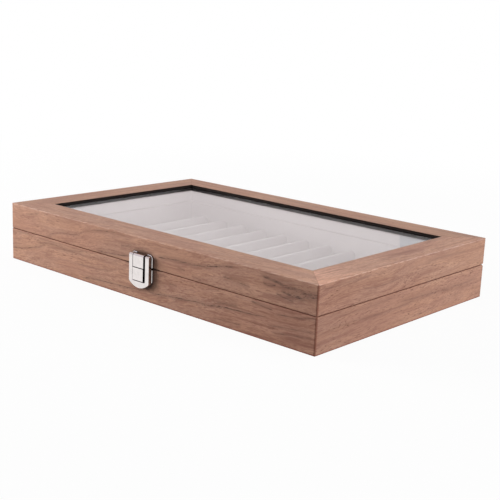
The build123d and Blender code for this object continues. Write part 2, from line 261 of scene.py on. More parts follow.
# The painted shade beside the latch: its reach into the corner, its half width and its lowest
# level with the distances over which they end, the depths that keep it outside, and its share.
LATCH_SHADE_REACH = 6.0
LATCH_SHADE_HALF_WIDTH, LATCH_SHADE_SIDE_FADE = 17.0, 7.0
LATCH_SHADE_FOOT, LATCH_SHADE_FOOT_FADE = 9.0, 5.0
LATCH_SHADE_OUTSIDE = (1.0, 2.0)
LATCH_SHADE_SHARE = 0.85


class Veneer:
    """A point's place on a board and the grain there, and the colours that they give."""

    def __init__(self, g, along, seed, slant):
        self.g = g
        self.along = along
        self.x, self.y, self.z = g.place()
        self.run, self.side = (self.x, self.y) if along == "x" else (self.y, self.x)
        self.on_top = g.fade(self.z, TOP - 0.1, TOP - 1.0)
        self.off_top = g.math("SUBTRACT", 1.0, self.on_top)
        self.in_x = g.math("SUBTRACT", HALF_WIDTH, g.math("ABSOLUTE", self.x))
        self.in_y = g.math("SUBTRACT", HALF_DEPTH, g.math("ABSOLUTE", self.y))
        shift_run, shift_side, shift_up = (part * seed for part in SEED_SHIFT)
        run = g.add(self.run, shift_run)
        start = g.vector(run, g.add(self.side, shift_side), g.add(self.z, shift_up))
        wave = g.times(g.noise(start, *WAVE), WAVE_HEIGHT)
        drift = g.math("SUBTRACT", wave, g.times(self.run, slant))
        here = g.vector(run, g.add(self.side, drift, shift_side), g.add(self.z, drift, shift_up))
        self.grain = {kind: g.noise(here, *sizes) for kind, sizes in GRAIN.items()}
        self.reds = g.noise(start, *REDS)

    def figured(self, deeper, figure, top_figure):
        """The wood's colour with its bands, veins, clouds, flecks and fibres."""
        g = self.g
        side_figure = g.add(LIGHT_END_FIGURE, g.times(deeper, DEEP_END_FIGURE))
        side_strength = g.times(side_figure, self.off_top, figure)
        strength = g.add(side_strength, g.times(self.on_top, top_figure))
        colour = g.mix(g.fade(self.grain["bands"], 0.60, 0.36), WOOD_LIGHT, WOOD_MIDDLE)
        colour = g.mix(g.times(g.fade(self.reds, 0.62, 0.42), RED_SHARE), colour, WOOD_RED)
        for kind, full, none, figure_share, fixed_share in FIGURE:
            share = g.add(g.times(strength, figure_share), fixed_share)
            shade = g.times(g.fade(self.grain[kind], full, none), share)
            colour = g.mix(shade, colour, WOOD_DARK)
        return colour

    def lightened(self, colour, top_pale):
        """The top made paler, most at the high end of the run, or the low end if negative."""
        g = self.g
        half_run = HALF_WIDTH if self.along == "x" else HALF_DEPTH
        pale_from = math.copysign(half_run, top_pale)
        pale_to = math.copysign(half_run - PALE_REACH, top_pale)
        at_end = g.times(g.fade(self.run, pale_from, pale_to), 1.0 - PALE_BEYOND)
        share = g.times(g.add(at_end, PALE_BEYOND), self.on_top, abs(top_pale) * PALE_GAIN)
        return g.brighten(colour, g.add(share, 1.0))

    def lined(self, colour, side_lines, top_lines):
        """Dark grain lines at the places where the photo shows them."""
        g = self.g
        flecks = self.grain["flecks"]
        fibres = self.grain["fibres"]
        uneven = g.times(g.math("SUBTRACT", self.grain["veins"], 0.5), VEIN_WOBBLE)
        wobble = g.add(uneven, g.times(flecks, FLECK_WOBBLE), -FLECK_WOBBLE / 2)
        broken = g.times(g.fade(fibres, 0.30, 0.80), g.fade(flecks, 0.35, 0.85), LINE_GAIN)
        for points, half_width, darkness in side_lines:
            line = grain_line(g, self.run, self.z, wobble, points, half_width)
            shade = g.times(line, broken, self.off_top, darkness)
            colour = g.mix(shade, colour, WOOD_STREAK)
        for points, half_width, darkness in top_lines:
            line = grain_line(g, self.run, self.side, wobble, points, half_width)
            colour = g.mix(g.times(line, self.on_top, darkness), colour, WOOD_DARK)
        return colour

    def edged(self, colour):
        """Stained corners, mitres, seam and foot; painted seam shadow; top edges pale from wear
        and painted highlight.
        """
        g = self.g
        nearest = g.math("MINIMUM", self.in_x, self.in_y)
        from_mitre = g.math("ABSOLUTE", g.math("SUBTRACT", self.in_x, self.in_y))
        from_seam = g.math("ABSOLUTE", g.math("SUBTRACT", self.z, SEAM))
        from_rim = g.add(g.math("SUBTRACT", TOP, self.z), nearest)
        corner = g.times(g.fade(g.add(self.in_x, self.in_y), *CORNER_FADE), CORNER_SHARE)
        foot = g.fade(g.add(self.z, nearest), *FOOT_FADE)
        mitre = g.times(g.fade(from_mitre, *MITRE_FADE), MITRE_SHARE)
        seat = g.times(g.fade(from_seam, *SEAT_FADE), SEAT_SHARE)
        stained = corner
        for stain in (foot, mitre, seat):
            stained = g.math("MAXIMUM", stained, stain)
        colour = g.mix(g.times(stained, STAIN_SHARE), colour, STAINED_EDGE)
        seam = g.times(g.fade(from_seam, *SEAM_FADE), g.fade(nearest, *SEAM_DEPTH_FADE))
        colour = g.mix(g.times(seam, STAIN_SHARE), colour, SEAM_SHADOW)
        # Pale along the top edges: partly wear, partly a painted highlight.
        uneven = g.fade(self.grain["flecks"], 0.42, 0.62)
        worn_and_lit = g.times(g.fade(from_rim, *RIM_FADE), uneven, RIM_SHARE)
        return g.mix(worn_and_lit, colour, WORN_EDGE_AND_HIGHLIGHT)

    def painted_latch_shade(self, colour):
        """Painted shade in the corner between the latch and the wood."""
        g = self.g
        side_end = LATCH_SHADE_HALF_WIDTH + LATCH_SHADE_SIDE_FADE
        beside = g.fade(g.math("ABSOLUTE", self.x), LATCH_SHADE_HALF_WIDTH, side_end)
        above = g.fade(self.z, LATCH_SHADE_FOOT, LATCH_SHADE_FOOT - LATCH_SHADE_FOOT_FADE)
        outside = g.times(g.fade(self.in_y, *LATCH_SHADE_OUTSIDE), self.off_top)
        # Painted shade: the wood is darkest where the latch and its plates crowd it.
        corner = g.fade(g.crevice(LATCH_SHADE_REACH), 0.42, 0.0)
        painted_shade = g.times(corner, g.times(beside, above), outside, LATCH_SHADE_SHARE)
        return g.mix(painted_shade, colour, LATCH_PAINTED_SHADE)


def grain_line(g, run, height, wobble, points, half_width):
    """Shade of one dark grain line through the given points (run, height)."""
    first, last = points[0][0], points[-1][0]
    low = min(point[1] for point in points) - 0.5
    high = max(point[1] for point in points) + 0.5
    along = g.math("DIVIDE", g.math("SUBTRACT", run, first), last - first)
    line = [((px - first) / (last - first), (pz - low) / (high - low)) for px, pz in points]
    level = g.add(g.times(g.curve(along, line), high - low), low)
    aside = g.math("ABSOLUTE", g.add(g.math("SUBTRACT", height, level), wobble))
    core = g.fade(aside, *(part * half_width for part in LINE_CORE))
    halo = g.times(g.fade(aside, *(part * half_width for part in LINE_HALO)), HALO_SHARE)
    ends = g.fade(g.math("ABSOLUTE", g.math("SUBTRACT", along, 0.5)), *LINE_ENDS)
    return g.times(g.math("MAXIMUM", core, halo), ends)


def walnut(name, along, seed, slant, depth, figure, top_figure, top_pale, side_lines, top_lines):
    """Lacquered walnut veneer. The grain runs along x or y and climbs by the slant.

    The depth darkens one end of the run, the low end where it is negative, and the figure is
    the strength of the grain. The top is pale by its own share, most at one end.
    """
    g = Graph(name)
    veneer = Veneer(g, along, seed, slant)
    deep_end = math.copysign(1.0, depth)
    deeper = g.times(g.fade(veneer.run, DEEP_TO * deep_end, DEEP_FROM * deep_end), veneer.off_top)
    colour = veneer.figured(deeper, figure, top_figure)
    colour = g.mix(g.times(deeper, abs(depth)), colour, WOOD_DARK)
    colour = veneer.lightened(colour, top_pale)
    colour = veneer.lined(colour, side_lines, top_lines)
    grain = veneer.grain
    pores = g.times(g.fade(grain["pores"], 0.68, 0.59), g.fade(grain["clouds"], 0.25, 0.75))
    pore_share = g.add(g.times(veneer.off_top, SIDE_PORES[along]), TOP_PORES)
    colour = g.mix(g.times(pores, pore_share), colour, PORE_BROWN)
    colour = veneer.edged(colour)
    # The front boards get painted shade beside the latch.
    if "front" in name:
        colour = veneer.painted_latch_shade(colour)
    relief = g.math("SUBTRACT", g.times(grain["fibres"], 0.35), g.times(pores, 0.6))
    g.surface(
        Base_Color=colour,
        Roughness=g.add(0.44, g.times(grain["fibres"], 0.14)),
        Specular_IOR_Level=0.12,
        Normal=g.bump(relief, 0.25, 0.0002),
    )
    return g.material


# Colours of the other materials, with the sizes, detail and roughness of their noises.
FLANNEL_LIGHT = linear(208, 202, 202)
FLANNEL_SHADE = linear(188, 183, 183)
FLANNEL_WORN = linear(199, 194, 193)
FLANNEL_NAP = ((0.45, 0.45, 0.45), 3.0, 0.7)
FLANNEL_BLOTCHES = ((16.0, 16.0, 10.0), 3.0)
GLASS_TINT = linear(250, 252, 252)
GLASS_SHADOW = linear(224, 226, 226)
GLASS_SMEARS = ((45.0, 30.0, 30.0), 3.0, 0.6)
STRIP_LIGHT = linear(44, 35, 32)
STRIP_SHADE = linear(39, 31, 28)
STRIP_DEEP = linear(22, 18, 16)
STRIP_GRAIN = ((7.0, 7.0, 0.5), 2.0, 0.5)
BEAD_HEIGHT = 1.2
BEAD_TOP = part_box("glass_pane")[1].z / MM + BEAD_HEIGHT
LATCH_NICKEL = (236, 229, 227)
HINGE_NICKEL = (196, 192, 186)
# Painted shade in the metal's crevices, and how far it reaches.
METAL_PAINTED_SHADE = linear(52, 45, 42)
METAL_CLOUDING = ((5.0, 5.0, 5.0), 3.0)
METAL_HAIRS = ((0.12, 0.12, 7.0), 2.0)
METAL_DULLING = 8
METAL_SHADE_REACH = 2.5
FLOCK_LIGHT = linear(52, 46, 43)
FLOCK_SHADE = linear(36, 32, 30)
FLOCK_MARKED = linear(60, 54, 50)
FLOCK_NAP = ((0.35, 0.35, 0.35), 2.0, 0.7)
FLOCK_MARKS = ((30.0, 24.0, 20.0), 3.0)


def flannel():
    """Light grey napped cloth over board."""
    g = Graph("grey_flannel")
    here = g.vector(*g.place())
    nap = g.noise(here, *FLANNEL_NAP)
    blotches = g.noise(here, *FLANNEL_BLOTCHES)
    colour = g.mix(g.fade(nap, 0.70, 0.30), FLANNEL_LIGHT, FLANNEL_SHADE)
    colour = g.mix(g.times(g.fade(blotches, 0.62, 0.40), 0.35), colour, FLANNEL_WORN)
    g.surface(
        Base_Color=colour,
        Roughness=0.95,
        Specular_IOR_Level=0.15,
        Sheen_Weight=0.2,
        Sheen_Roughness=0.5,
        Normal=g.bump(nap, 0.35, 0.0003),
    )
    return g.material


def clear_glass():
    """Clear flat glass that lets lamp light through to the lining."""
    g = Graph("clear_glass")
    smears = g.noise(g.vector(*g.place()), *GLASS_SMEARS)
    glass = g.surface(
        Base_Color=GLASS_TINT,
        Roughness=g.times(g.fade(smears, 0.72, 0.40), 0.012),
        IOR=1.5,
        Transmission_Weight=1.0,
    )
    clear = g.node("ShaderNodeBsdfTransparent")
    clear.inputs["Color"].default_value = GLASS_SHADOW
    path = g.node("ShaderNodeLightPath")
    either = g.node("ShaderNodeMixShader")
    g.feed(either.inputs[0], path.outputs["Is Shadow Ray"])
    g.feed(either.inputs[1], glass.outputs[0])
    g.feed(either.inputs[2], clear.outputs[0])
    g.feed(g.output.inputs["Surface"], either.outputs[0])
    return g.material


def black_strip():
    """Black moulded strip with a fine drawn texture, a deeper bead and a thin wooden rim."""
    g = Graph("black_strip")
    x, y, z = g.place()
    grain = g.noise(g.vector(x, y, z), *STRIP_GRAIN)
    colour = g.mix(g.fade(grain, 0.65, 0.35), STRIP_LIGHT, STRIP_SHADE)
    colour = g.mix(g.fade(z, TOP - 0.12, TOP - 0.16), colour, WOOD_MIDDLE)
    colour = g.mix(g.fade(z, BEAD_TOP, BEAD_TOP + 0.4), colour, STRIP_DEEP)
    g.surface(
        Base_Color=colour,
        Roughness=g.add(0.42, g.times(grain, 0.1)),
        Specular_IOR_Level=0.16,
        Normal=g.bump(grain, 0.02, 0.00005),
    )
    return g.material


def bright_plate(name, colour, roughness):
    """Nickel plate over steel, with faint clouding, hair scratches and painted shade in its
    corners.
    """
    g = Graph(name)
    here = g.vector(*g.place())
    clouding = g.noise(here, *METAL_CLOUDING)
    hairs = g.noise(here, *METAL_HAIRS)
    dull = linear(*(part - METAL_DULLING for part in colour))
    shade = g.mix(g.fade(clouding, 0.65, 0.35), linear(*colour), dull)
    # Painted shade: the metal is darker in its crevices.
    painted_shade = g.times(g.fade(g.crevice(METAL_SHADE_REACH), 0.65, 0.2), 0.85)
    shade = g.mix(painted_shade, shade, METAL_PAINTED_SHADE)
    g.surface(
        Base_Color=shade,
        Metallic=1.0,
        Roughness=g.add(roughness, g.times(g.fade(hairs, 0.75, 0.45), 0.05)),
        Normal=g.bump(hairs, 0.03, 0.00005),
    )
    return g.material


def dark_flock():
    """Dark flocked paper on the underside."""
    g = Graph("dark_flock")
    here = g.vector(*g.place())
    flock = g.noise(here, *FLOCK_NAP)
    marks = g.noise(here, *FLOCK_MARKS)
    colour = g.mix(g.fade(flock, 0.70, 0.30), FLOCK_LIGHT, FLOCK_SHADE)
    colour = g.mix(g.times(g.fade(marks, 0.64, 0.44), 0.3), colour, FLOCK_MARKED)
    g.surface(
        Base_Color=colour,
        Roughness=0.95,
        Specular_IOR_Level=0.2,
        Sheen_Weight=0.2,
        Normal=g.bump(flock, 0.4, 0.0002),
    )
    return g.material


def dress(node, material):
    """Give a CAD node its material."""
    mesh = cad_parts[node].data
    mesh.materials.clear()
    mesh.materials.append(material)


# Grain lines: points (run, height), half width and darkness. Heights are from the ground.
FRONT_LID_LINES = (
    (((-121, 29), (-109, 33.5), (-95, 36.2), (-82, 37.4), (-76, 39.6), (-67, 43.1), (-56, 45.8),
      (-43, 47.5), (-21, 48.2)), 0.7, 0.46),
    (((-150, 43.0), (-131, 46.6)), 0.6, 0.40),
    (((-56, 29.4), (-36, 30.3), (-14, 33.0)), 1.6, 0.50),
    (((-26, 39.0), (-12, 40.8)), 1.8, 0.40),
    (((12, 37.0), (34, 39.6), (56, 40.0), (68, 41.4), (82, 44.4), (97, 47.2)), 0.9, 0.65),
    (((38, 34.6), (46, 34.0)), 0.7, 0.55),
    (((53, 31.0), (63, 30.3)), 0.8, 0.45),
    (((84, 37.6), (110, 35.4)), 1.4, 0.50),
    (((120, 46.6), (135, 44.0), (144, 42.8), (171, 42.2)), 2.8, 0.62),
    (((122, 41.6), (128, 40.6), (134, 42.4)), 0.6, 0.65),
    (((138, 39.4), (152, 37.6), (161, 39.6), (171, 40.8)), 1.7, 0.70),
    (((134, 36.4), (150, 33.6)), 1.4, 0.50),
)
FRONT_BASE_LINES = (
    (((-171, 25.0), (-144, 27.4)), 0.8, 0.35),
    (((-171, 10.8), (-157, 11.8), (-149, 13.5), (-137, 16.2), (-130, 18.0),
      (-121, 23.0)), 0.8, 0.5),
    (((-134, 20.5), (-109, 23.4), (-95, 22.6), (-82, 23.4), (-68, 26.6)), 1.5, 0.40),
    (((-80, 13.4), (-39, 15.4)), 0.5, 0.35),
    (((-72, 3.4), (-60, 4.8), (-47, 5.6), (-21, 6.6), (4, 9.2)), 0.9, 0.60),
    (((-8, 8.2), (13, 8.8), (34, 10.6), (48, 11.8), (65, 12.8), (78, 14.0), (91, 15.3),
      (113, 16.2), (127, 18.0)), 0.9, 0.65),
    (((74, 17.4), (100, 19.4)), 2.0, 0.40),
    (((30, 20.6), (38, 20.0)), 0.6, 0.50),
    (((112, 25.2), (132, 23.6)), 1.2, 0.60),
    (((134, 21.4), (150, 23.0), (171, 27.2)), 0.7, 0.55),
    (((76, 4.8), (104, 5.6)), 0.7, 0.50),
    (((128, 12.0), (168, 16.5)), 0.8, 0.45),
    (((132, 7.8), (168, 12.4)), 0.8, 0.45),
)
RIGHT_LID_LINES = (
    (((-109, 46.5), (-80, 45.8), (-50, 46.6)), 0.7, 0.30),
    (((-60, 38.4), (-38, 36.6), (-10, 38.0)), 0.7, 0.30),
    (((20, 42.6), (48, 44.6), (80, 43.6)), 0.8, 0.25),
)
RIGHT_BASE_LINES = (
    (((-108, 14.5), (-70, 16.2), (-30, 15.4), (10, 18.0)), 0.8, 0.30),
    (((-15, 20.0), (30, 17.6), (70, 17.0), (100, 18.2)), 1.8, 0.32),
    (((-90, 24.5), (-60, 23.0), (-20, 24.6)), 0.7, 0.25),
)
TOP_RIGHT_LINES = (
    (((-22, 158), (5, 155), (30, 157)), 4.0, 0.26),
    (((50, 150), (84, 147)), 3.0, 0.26),
)

# Wooden boards: node, grain direction, slant, depth, figure, figure and paleness on top, lines.
BOARDS = (
    ("base_front_wall", "x", 0.10, 0.12, 1.08, 0.3, 0.0, FRONT_BASE_LINES, ()),
    ("base_back_wall", "x", 0.05, 0.05, 0.70, 0.3, 0.0, (), ()),
    ("base_left_wall", "y", -0.04, 0.05, 0.60, 0.3, 0.0, (), ()),
    ("base_right_wall", "y", 0.03, -0.40, 0.82, 0.3, 0.0, RIGHT_BASE_LINES, ()),
    ("lid_front_rail", "x", 0.10, 0.13, 0.78, 0.58, 0.53, FRONT_LID_LINES, ()),
    ("lid_back_rail", "x", -0.04, 0.0, 0.70, 0.12, 0.0, (), ()),
    ("lid_left_rail", "y", 0.05, 0.0, 0.60, 0.22, 0.0, (), ()),
    ("lid_right_rail", "y", 0.03, -0.14, 0.90, 0.78, -1.25, RIGHT_LID_LINES, TOP_RIGHT_LINES),
)
for seed, (node, along, *settings) in enumerate(BOARDS, start=1):
    dress(node, walnut(f"walnut_{node}", along, seed, *settings))

flannel_cloth = flannel()
strip_black = black_strip()
latch_metal = bright_plate("bright_nickel", LATCH_NICKEL, 0.08)
hinge_metal = bright_plate("satin_nickel", HINGE_NICKEL, 0.24)
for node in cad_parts:
    if node.startswith("window_"):
        dress(node, strip_black)
    elif node.startswith("latch_"):
        dress(node, latch_metal)
    elif node.startswith("hinge_"):
        dress(node, hinge_metal)
dress("glass_pane", clear_glass())
dress("bottom_panel", dark_flock())

# The angle from which an edge between two faces stays sharp.
SHARP_ANGLE = math.radians(40)


def finish_mesh(name, bm, material, body, node):
    """Turn a mesh drawn in millimetres into a smooth piece that stands for a CAD node."""
    bmesh.ops.recalc_face_normals(bm, faces=bm.faces)
    bmesh.ops.scale(bm, vec=(MM, MM, MM), verts=bm.verts)
    mesh = bpy.data.meshes.new(name)
    bm.to_mesh(mesh)
    bm.free()
    mesh.materials.append(material)
    mesh.shade_smooth()
    mesh.set_sharp_from_angle(angle=SHARP_ANGLE)
    piece = bpy.data.objects.new(name, mesh)
    bpy.context.scene.collection.objects.link(piece)
    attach(piece, body)
    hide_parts(node)
    return piece


def steps(low, high, radius, pitch):
    """Places along one side of a rounded slab: close together where its edges turn."""
    turn = [radius * (1 - math.cos(math.radians(angle))) for angle in (0, 22.5, 45, 67.5, 90)]
    count = max(1, round((high - low - 2 * radius) / pitch))
    inner = (high - low - 2 * radius) / count
    middle = [low + radius + inner * number for number in range(1, count)]
    return [low + part for part in turn] + middle + [high - part for part in reversed(turn)]


def rounded_slab(low, high, radius, pitch, shape):
    """A closed slab with rounded edges. The shape function moves each point a little."""
    axes = [steps(low[axis], high[axis], radius, pitch) for axis in range(3)]
    last = [len(places) - 1 for places in axes]
    bm = bmesh.new()
    corners = {}

    def corner(*index):
        if index not in corners:
            point = Vector(axes[axis][index[axis]] for axis in range(3))
            core = Vector(
                min(max(point[axis], low[axis] + radius), high[axis] - radius)
                for axis in range(3)
            )
            outward = (point - core).normalized()
            corners[index] = bm.verts.new(shape(core + outward * radius, outward))
        return corners[index]

    for axis in range(3):
        second, third = (axis + 1) % 3, (axis + 2) % 3
        for end, row, column in product((0, last[axis]), range(last[second]), range(last[third])):
            face = []
            for step_row, step_column in ((0, 0), (1, 0), (1, 1), (0, 1)):
                index = [0, 0, 0]
                index[axis] = end
                index[second] = row + step_row
                index[third] = column + step_column
                face.append(corner(*index))
            bm.faces.new(face)
    return bm


def cloth_sag(point, depth, size):
    """How far cloth sinks at a point, from 0 to the depth."""
    return depth * (0.5 + 0.5 * noise.noise(point / size))


# Lining boards: rounding, gap all round, point spacing, and depth and width of the cloth's sag.
BOARD_RADIUS = 0.5
BOARD_CLEARANCE = 0.02
BOARD_PITCH = 5.0
BOARD_SAG = (0.22, 9.0)


def make_linings(cloth):
    """Lining boards: the cloth is wrapped over the edges and lies slightly uneven."""
    for part in ("base", "lid"):
        for side in ("front", "back", "left", "right"):
            node = f"{part}_{side}_lining"
            low, high = (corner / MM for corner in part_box(node))
            inset = Vector((BOARD_CLEARANCE,) * 3)
            along = 0 if side in ("front", "back") else 1

            def uneven(point, outward, along=along):
                moved = point - outward * cloth_sag(point, *BOARD_SAG)
                moved[along] = point[along]
                return moved

            slab = rounded_slab(low + inset, high - inset, BOARD_RADIUS, BOARD_PITCH, uneven)
            finish_mesh(f"{node}_cloth", slab, cloth, part, node)


# Slot dividers: rounding, point spacing, the fall of the top towards both ends with the share
# that it takes and the foot that stays, the foot's depth in the pad, gaps, and the cloth's sag.
DIVIDER_RADIUS = 1.25
DIVIDER_PITCH = 4.0
DIVIDER_FALL = 6.5
DIVIDER_FALL_SHARE = 0.8
DIVIDER_STILL = 0.3
DIVIDER_SINK = 0.25
DIVIDER_END_SHARE = 0.3
DIVIDER_SIDE_GAP = 0.05
DIVIDER_TOP_GAP = 0.02
DIVIDER_SAG = (0.16, 7.0)


def divider_shape(low, high):
    """How the points of one divider move: the top falls near both ends, the foot stays."""

    def fallen(point, outward):
        from_end = min(point.y - low.y, high.y - point.y)
        height = (point.z - low.z) / (high.z - low.z)
        share = max(0.0, height - DIVIDER_STILL) / (1 - DIVIDER_STILL)
        fall = 0.0
        if from_end < DIVIDER_FALL:
            turn = 1 - from_end / DIVIDER_FALL
            drop = 1 - math.sqrt(max(0.0, 1 - turn * turn))
            fall = DIVIDER_FALL * drop * DIVIDER_FALL_SHARE
        moved = point - outward * cloth_sag(point, *DIVIDER_SAG)
        moved.z -= fall * share
        if from_end < DIVIDER_RADIUS:
            moved.y += math.copysign(from_end * (1 - DIVIDER_END_SHARE), point.y)
        return moved

    return fallen


def make_dividers(cloth):
    """Slot dividers, rounded along the top. Gives the middle of each one's foot."""
    middles = []
    dividers = [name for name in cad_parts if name.startswith("slot_divider_")]
    for node in dividers:
        low, high = (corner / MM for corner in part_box(node))
        slab = rounded_slab(
            low + Vector((DIVIDER_SIDE_GAP, DIVIDER_SIDE_GAP, -DIVIDER_SINK)),
            high - Vector((DIVIDER_SIDE_GAP, DIVIDER_SIDE_GAP, DIVIDER_TOP_GAP)),
            DIVIDER_RADIUS, DIVIDER_PITCH, divider_shape(low, high),
        )
        finish_mesh(f"{node}_cloth", slab, cloth, "base", node)
        middles.append((low.x + high.x) / 2)
    return middles


# Floor pad: how deep the dividers press it and how far that reaches, rounding, point spacing,
# gaps, the cloth's sag, and how full the pad is.
PAD_PRESS = 0.35
PAD_PRESS_REACH = 3.4
PAD_PRESS_POWER = 0.7
PAD_RADIUS = 0.6
PAD_PITCH = 1.3
PAD_SIDE_GAP = 0.1
PAD_TOP_GAP = 0.02
PAD_SAG = (0.12, 8.0)


def make_pad(cloth, middles):
    """Floor pad: soft beds between the dividers, pressed down along their feet."""

    def pressed(point, outward):
        nearest = min(abs(point.x - middle) for middle in middles)
        press = 0.0
        if outward.z > 0.5:
            press = PAD_PRESS * max(0.0, 1 - nearest / PAD_PRESS_REACH) ** PAD_PRESS_POWER
            press += cloth_sag(point, *PAD_SAG)
        return point - Vector((0, 0, press))

    low, high = (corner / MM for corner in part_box("slot_floor"))
    pad = rounded_slab(
        low + Vector((PAD_SIDE_GAP, PAD_SIDE_GAP, 0)),
        high - Vector((PAD_SIDE_GAP, PAD_SIDE_GAP, PAD_TOP_GAP)),
        PAD_RADIUS, PAD_PITCH, pressed,
    )
    piece = finish_mesh("slot_floor_pad", pad, cloth, "base", "slot_floor")


make_linings(flannel_cloth)
make_pad(flannel_cloth, make_dividers(flannel_cloth))

# Lever of the latch, drawn from the CAD's sizes with finely rounded edges.
LEVER_HALF = 11.1
LEVER_WINDOW = 7.05
LEVER_WINDOW_FOOT = 16.4
LEVER_WINDOW_CORNER = 0.8
LEVER_TIP = 11.0
LEVER_SHOULDER = 15.7
LEVER_SHOULDER_RADIUS = 1.5
LEVER_BACK = 1.1
LEVER_FRONT = 4.3
LEVER_SHEET = 0.8
LEVER_EDGE = 0.55
PIVOT_OUT = 2.7
PIVOT_HEIGHT = 35.9
LEG_SOLID_FOOT = 34.0

# Number of straight steps in the lever's curves.
SHOULDER_STEPS = 6
TIP_STEPS = 24
CORNER_STEPS = 5
LEG_TOP_STEPS = 12
EDGE_STEPS = 5


def arc(centre, radius, start, end, count):
    """Points of an arc, with its angles in degrees."""
    angles = [math.radians(start + (end - start) * number / count) for number in range(count + 1)]
    return [(centre[0] + radius * math.cos(a), centre[1] + radius * math.sin(a)) for a in angles]


def lever_outline(inset, leg_top):
    """Front outline of the U, from the top of the right leg down and round to its inner side."""
    half = LEVER_HALF - inset
    window = LEVER_WINDOW + inset
    drop = LEVER_SHOULDER - LEVER_TIP
    sweep = (LEVER_HALF ** 2 + drop ** 2) / (2 * drop)
    sweep_height = LEVER_TIP + sweep
    radius = LEVER_SHOULDER_RADIUS - inset
    sweep -= inset
    shoulder_x = half - radius
    shoulder_z = sweep_height - math.sqrt((sweep - radius) ** 2 - shoulder_x ** 2)
    meet = math.degrees(math.atan2(shoulder_z - sweep_height, shoulder_x))
    right = arc((shoulder_x, shoulder_z), radius, 0, meet, SHOULDER_STEPS)
    bottom = arc((0, sweep_height), sweep, meet, -180 - meet, TIP_STEPS)[1:-1]
    left = [(-px, pz) for px, pz in reversed(right)]
    corner = LEVER_WINDOW_CORNER + inset
    foot = LEVER_WINDOW_FOOT - inset
    inner_right = arc((window - corner, foot + corner), corner, -90, 0, CORNER_STEPS)
    inner_left = [(-px, pz) for px, pz in reversed(inner_right)]
    return (
        [(half, leg_top)] + right + bottom + left + [(-half, leg_top), (-window, leg_top)]
        + inner_left + inner_right + [(window, leg_top)]
    )


class Lever:
    """A pressed U: front face, flanges, half-round leg tops, and a hollow open at the back."""

    def __init__(self):
        self.mesh = bmesh.new()
        self.outer = lever_outline(0.0, PIVOT_HEIGHT)
        inner = lever_outline(LEVER_SHEET, LEG_SOLID_FOOT)
        count = len(self.outer)
        self.sides = [(number, (number + 1) % count) for number in range(count)]
        self.tops = [number for number in range(count) if self.outer[number][1] == PIVOT_HEIGHT]
        self.top_sides = [(self.tops[1], self.tops[2]), (self.tops[3], self.tops[0])]
        self.front = self.ring(self.outer, LEVER_FRONT)
        self.back = self.ring(self.outer, LEVER_BACK)
        self.hollow_front = self.ring(inner, LEVER_FRONT - LEVER_SHEET)
        self.hollow_back = self.ring(inner, LEVER_BACK)
        self.mesh.faces.new(self.front)
        self.mesh.faces.new(self.hollow_front)
        self.rounds = {number: self.leg_round(number) for number in self.tops}
        self.close_leg_tops()
        self.close_sides()
        self.round_edges()

    def ring(self, points, out):
        """One outline as points at a distance out from the front of the box."""
        return [self.mesh.verts.new((px, -HALF_DEPTH - out, pz)) for px, pz in points]

    def leg_round(self, number):
        """The half round over a top corner of a leg, from the front to the back."""
        px = self.outer[number][0]
        radius = PIVOT_OUT - LEVER_BACK
        turned = arc((PIVOT_OUT, PIVOT_HEIGHT), radius, 0, 180, LEG_TOP_STEPS)[1:-1]
        run = [self.mesh.verts.new((px, -HALF_DEPTH - out, pz)) for out, pz in turned]
        return [self.front[number]] + run + [self.back[number]]

    def close_leg_tops(self):
        """The faces between the two half rounds of each leg."""
        for one, other in self.top_sides:
            first, second = self.rounds[one], self.rounds[other]
            for step in range(LEG_TOP_STEPS):
                self.mesh.faces.new((first[step], first[step + 1], second[step + 1], second[step]))

    def close_sides(self):
        """Flanges, the walls of the hollow and the rim between them."""
        for side in self.sides:
            number, after = side
            front = self.front[number], self.front[after]
            back = self.back[number], self.back[after]
            rim = self.hollow_back[after], self.hollow_back[number]
            self.mesh.faces.new(back + rim)
            self.mesh.faces.new((self.hollow_front[number], self.hollow_front[after]) + rim)
            if side in self.top_sides:
                continue
            if number in self.tops:
                self.mesh.faces.new(self.rounds[number] + [back[1], front[1]])
            elif after in self.tops:
                self.mesh.faces.new(self.rounds[after][::-1] + [front[0], back[0]])
            else:
                self.mesh.faces.new(front + back[::-1])

    def round_edges(self):
        """Round the front edges and the edges of the half rounds."""
        sides = [side for side in self.sides if side not in self.top_sides]
        pairs = [(self.front[number], self.front[after]) for number, after in sides]
        for number in self.tops:
            pairs += zip(self.rounds[number], self.rounds[number][1:])
        self.mesh.edges.ensure_lookup_table()
        eased = [self.mesh.edges.get(pair) for pair in pairs]
        bmesh.ops.recalc_face_normals(self.mesh, faces=self.mesh.faces)
        bmesh.ops.bevel(
            self.mesh, geom=eased, offset=LEVER_EDGE, offset_type="OFFSET", segments=EDGE_STEPS,
            profile=0.5, affect="EDGES", clamp_overlap=True,
        )


def even_normals(piece):
    """Keep flat faces flat beside rounded edges, with the modifier applied to the mesh."""
    modifier = piece.modifiers.new("even_normals", "WEIGHTED_NORMAL")
    modifier.keep_sharp = True
    graph = bpy.context.evaluated_depsgraph_get()
    shaped = bpy.data.meshes.new_from_object(piece.evaluated_get(graph))
    piece.modifiers.clear()
    piece.data = shaped


lever_piece = finish_mesh(
    "latch_lever_pressed", Lever().mesh, latch_metal, "lever", "latch_lever",
)
even_normals(lever_piece)


